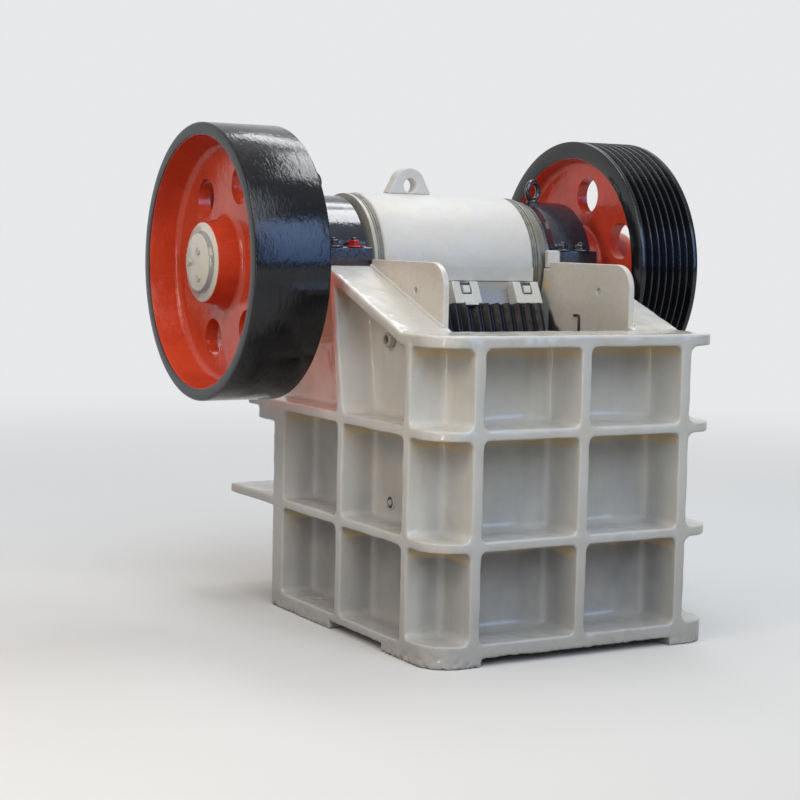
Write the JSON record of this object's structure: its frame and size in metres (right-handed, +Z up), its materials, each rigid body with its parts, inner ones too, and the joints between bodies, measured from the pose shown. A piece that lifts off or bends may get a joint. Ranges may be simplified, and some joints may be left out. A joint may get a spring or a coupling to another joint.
{
  "type": "jaw crusher",
  "caption": "Single-toggle jaw crusher: ribbed cast frame, ridged fixed and swing jaws, toggle plate, tension rod with spring, eccentric shaft, heavy flywheel and grooved belt pulley.",
  "frame": {"origin": "middle of the machine's bounding box, on the floor under the foot pads", "axes": "+X along the shaft from the flywheel to the belt pulley, +Y from the feed side to the toggle side at the rear, +Z up"},
  "size_m": [1.772, 1.5, 1.6689],
  "materials": {
    "cream_paint": "gloss",
    "black_paint": "gloss",
    "orange_paint": "satin",
    "red_paint": "satin",
    "jaw_steel": "satin",
    "cast_steel": "matt",
    "bright_steel": "machined",
    "spring_steel": "satin"
  },
  "bodies": {
    "frame": {"front_wall": "cream_paint", "side_wall_left": "cream_paint", "side_wall_right": "cream_paint", "rear_wall": "cream_paint", "front_ribs": "cream_paint", "corner_ribs": "cream_paint", "side_ribs": "cream_paint", "base_flange_front": "cream_paint", "base_flange_sides": "cream_paint", "lower_ledge_front": "cream_paint", "lower_ledge_sides": "cream_paint", "rear_shelf": "cream_paint", "rear_beam": "cream_paint", "upper_ledge_front": "cream_paint", "upper_ledge_sides": "cream_paint", "top_flange_front": "cream_paint", "top_flange_left": "cream_paint", "top_flange_right": "cream_paint", "feed_side_left": "cream_paint", "feed_side_right": "cream_paint", "bearing_saddles": "cream_paint", "seat_block": "cream_paint", "fixed_jaw_plate": "jaw_steel", "cheek_plates": "jaw_steel", "bearing_base_left": "black_paint", "bearing_base_right": "black_paint", "bearing_cap_left": "black_paint", "bearing_cap_right": "black_paint", "eye_bolts": "black_paint", "adjusting_block": "cast_steel"},
    "rotor": {"eccentric_shaft": "bright_steel", "flywheel_rim": "black_paint", "flywheel_web": "orange_paint", "flywheel_hub": "cream_paint", "pulley_rim": "black_paint", "pulley_web": "red_paint", "pulley_hub": "cream_paint"},
    "toggle": {"toggle_plate": "cast_steel"},
    "swing_jaw": {"pitman": "cream_paint", "lifting_lug": "cream_paint", "jaw_wedges": "cream_paint", "swing_jaw_plate": "jaw_steel", "rod_pin": "bright_steel"},
    "tension_rod": {"tension_rod": "bright_steel", "tension_spring": "spring_steel"}
  },
  "joints": [
    {"name": "shaft_spin", "type": "hinge", "parent": "frame", "child": "rotor", "pos_m": [0, 0.265, 1.205], "axis": [1, 0, 0], "continuous": true},
    {"name": "toggle_rock", "type": "hinge", "parent": "frame", "child": "toggle", "pos_m": [0, 0.235, 0.345], "axis": [1, 0, 0], "range_deg": [-2.7, 2.7]},
    {"name": "pitman_rock", "type": "hinge", "parent": "toggle", "child": "swing_jaw", "pos_m": [0, -0.045, 0.262], "axis": [1, 0, 0], "range_deg": [-2.5, 2.5]},
    {"name": "rod_rock", "type": "hinge", "parent": "frame", "child": "tension_rod", "pos_m": [0, 0.3957, 0.23607], "axis": [1, 0, 0], "range_deg": [-1.6, 1.6]}
  ],
  "couplings": [
    {"joint": "pitman_rock", "follows": "toggle_rock", "ratio": -0.912},
    {"joint": "rod_rock", "follows": "toggle_rock", "ratio": 0.5791}
  ]
}
